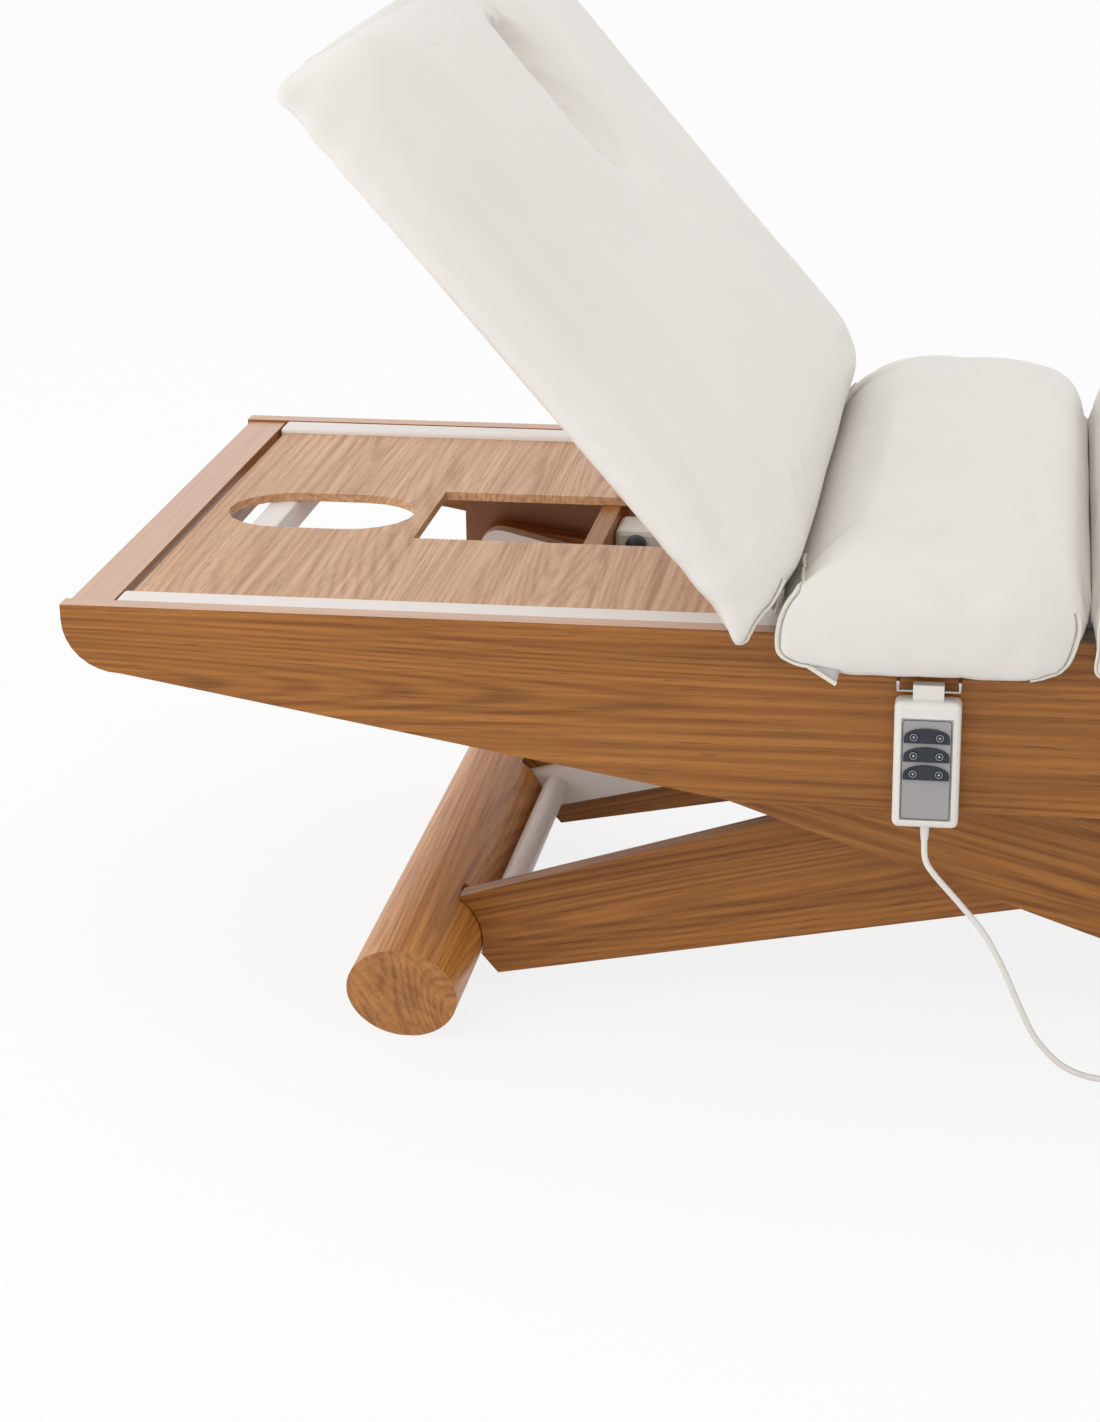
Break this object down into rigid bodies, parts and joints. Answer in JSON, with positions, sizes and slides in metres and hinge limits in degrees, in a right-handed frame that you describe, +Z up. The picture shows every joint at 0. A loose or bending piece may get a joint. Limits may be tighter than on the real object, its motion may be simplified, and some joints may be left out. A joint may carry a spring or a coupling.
{
  "type": "electric_spa_bed",
  "caption": "Electric spa bed with a raised back section, cream cushions, crossed oak legs on round log feet and a cabled handset",
  "frame": {"origin": "on the floor, under the middle of the bed", "axes": "+X along the bed to the foot end, +Y to the far side, +Z up"},
  "size_m": [1.86, 0.8392, 1.0128],
  "materials": {
    "oak": "oak veneer, satin lacquer",
    "plywood": "oak-faced plywood, satin",
    "white_steel": "off-white powder coat",
    "bright_steel": "plain ground steel",
    "upholstery": "cream leatherette",
    "white_plastic": "off-white moulded",
    "grey_plastic": "light grey panel",
    "dark_plastic": "dark navy pads",
    "key_plastic": "grey key tops",
    "cord_plastic": "off-white sheath"
  },
  "bodies": {
    "log_head": {"foot_log_head": "oak", "axle_head": "bright_steel"},
    "arm_a": {"plank_a_near": "oak", "plank_a_far": "oak", "steel_arm_a_near": "white_steel", "steel_arm_a_far": "white_steel", "spreader_tube_a": "white_steel", "lift_tube": "white_steel"},
    "arm_b": {"plank_b_near": "oak", "plank_b_far": "oak", "steel_arm_b_near": "white_steel", "steel_arm_b_far": "white_steel", "spreader_tube_b": "white_steel"},
    "log_foot": {"foot_log_foot": "oak", "axle_foot": "bright_steel"},
    "frame": {"side_rail_near": "oak", "side_rail_far": "oak", "end_rail_head": "oak", "end_rail_foot": "oak", "top_tube_near": "white_steel", "top_tube_far": "white_steel", "deck_panel": "plywood", "cross_tube_head": "white_steel", "cross_tube_mid": "white_steel", "cross_tube_pivot": "white_steel", "cross_tube_foot": "white_steel", "cross_board": "oak", "pivot_bracket_near": "white_steel", "pivot_bracket_far": "white_steel", "slide_bracket_near": "white_steel", "slide_bracket_far": "white_steel", "seat_board": "plywood", "seat_cushion": "upholstery", "back_motor": "white_plastic", "leg_motor": "white_plastic", "handset_shell": "white_plastic", "handset_panel": "grey_plastic", "key_pad_1": "dark_plastic", "key_pad_2": "dark_plastic", "key_pad_3": "dark_plastic", "handset_hook": "bright_steel", "cord_boot": "cord_plastic", "handset_cord": "cord_plastic"},
    "back": {"back_board": "plywood", "back_cushion": "upholstery", "back_lever": "white_steel"},
    "leg": {"leg_board": "plywood", "leg_cushion": "upholstery", "leg_lever": "white_steel"},
    "lift_motor": {"lift_motor": "white_plastic"},
    "lift_rod": {"lift_rod": "bright_steel"},
    "back_rod": {"back_rod": "bright_steel"},
    "leg_rod": {"leg_rod": "bright_steel"},
    "key_down_1": {"key_down_1": "key_plastic"},
    "key_up_1": {"key_up_1": "key_plastic"},
    "key_down_2": {"key_down_2": "key_plastic"},
    "key_up_2": {"key_up_2": "key_plastic"},
    "key_down_3": {"key_down_3": "key_plastic"},
    "key_up_3": {"key_up_3": "key_plastic"}
  },
  "joints": [
    {"name": "lift", "type": "hinge", "parent": "log_head", "child": "arm_a", "pos_m": [-0.608, 0, 0.0555], "axis": [0, -1, 0], "range_deg": [0, 16]},
    {"name": "cross_pivot", "type": "hinge", "parent": "arm_a", "child": "arm_b", "pos_m": [0, 0, 0.20025], "axis": [0, -1, 0], "range_deg": [-32, 0]},
    {"name": "log_level", "type": "hinge", "parent": "arm_b", "child": "log_foot", "pos_m": [0.608, 0, 0.0555], "axis": [0, -1, 0], "range_deg": [0, 16]},
    {"name": "frame_level", "type": "hinge", "parent": "arm_a", "child": "frame", "pos_m": [0.608, 0, 0.345], "axis": [0, -1, 0], "range_deg": [-16, 0]},
    {"name": "lift_motor_pivot", "type": "hinge", "parent": "arm_b", "child": "lift_motor", "pos_m": [0.51558, 0, 0.0775], "axis": [0, -1, 0], "range_deg": [-8, 0]},
    {"name": "lift_rod_slide", "type": "slide", "parent": "lift_motor", "child": "lift_rod", "axis": [-0.92, 0, 0.3919], "range_m": [0, 0.075]},
    {"name": "back_recline", "type": "hinge", "parent": "frame", "child": "back", "pos_m": [-0.243, 0, 0.4425], "axis": [0, 1, 0], "range_deg": [-49.5, 0]},
    {"name": "back_rod_slide", "type": "slide", "parent": "frame", "child": "back_rod", "axis": [-1, 0, 0], "range_m": [-0.0758, 0]},
    {"name": "leg_raise", "type": "hinge", "parent": "frame", "child": "leg", "pos_m": [0.062, 0, 0.4425], "axis": [0, -1, 0], "range_deg": [0, 12]},
    {"name": "leg_rod_slide", "type": "slide", "parent": "frame", "child": "leg_rod", "axis": [1, 0, 0], "range_m": [0, 0.019]},
    {"name": "key_down_1_press", "type": "slide", "parent": "frame", "child": "key_down_1", "axis": [0, 1, 0], "range_m": [0, 0.0006], "stiffness_N_per_m": 400},
    {"name": "key_up_1_press", "type": "slide", "parent": "frame", "child": "key_up_1", "axis": [0, 1, 0], "range_m": [0, 0.0006], "stiffness_N_per_m": 400},
    {"name": "key_down_2_press", "type": "slide", "parent": "frame", "child": "key_down_2", "axis": [0, 1, 0], "range_m": [0, 0.0006], "stiffness_N_per_m": 400},
    {"name": "key_up_2_press", "type": "slide", "parent": "frame", "child": "key_up_2", "axis": [0, 1, 0], "range_m": [0, 0.0006], "stiffness_N_per_m": 400},
    {"name": "key_down_3_press", "type": "slide", "parent": "frame", "child": "key_down_3", "axis": [0, 1, 0], "range_m": [0, 0.0006], "stiffness_N_per_m": 400},
    {"name": "key_up_3_press", "type": "slide", "parent": "frame", "child": "key_up_3", "axis": [0, 1, 0], "range_m": [0, 0.0006], "stiffness_N_per_m": 400}
  ],
  "couplings": [
    {"joint": "cross_pivot", "follows": "lift", "ratio": -2},
    {"joint": "log_level", "follows": "lift", "ratio": 1},
    {"joint": "frame_level", "follows": "lift", "ratio": -1},
    {"joint": "lift_motor_pivot", "follows": "lift", "ratio": -0.415},
    {"joint": "lift_rod_slide", "follows": "lift", "m_per_rad": 0.232},
    {"joint": "back_rod_slide", "follows": "back_recline", "m_per_rad": 0.08723},
    {"joint": "leg_rod_slide", "follows": "leg_raise", "m_per_rad": 0.08984}
  ]
}
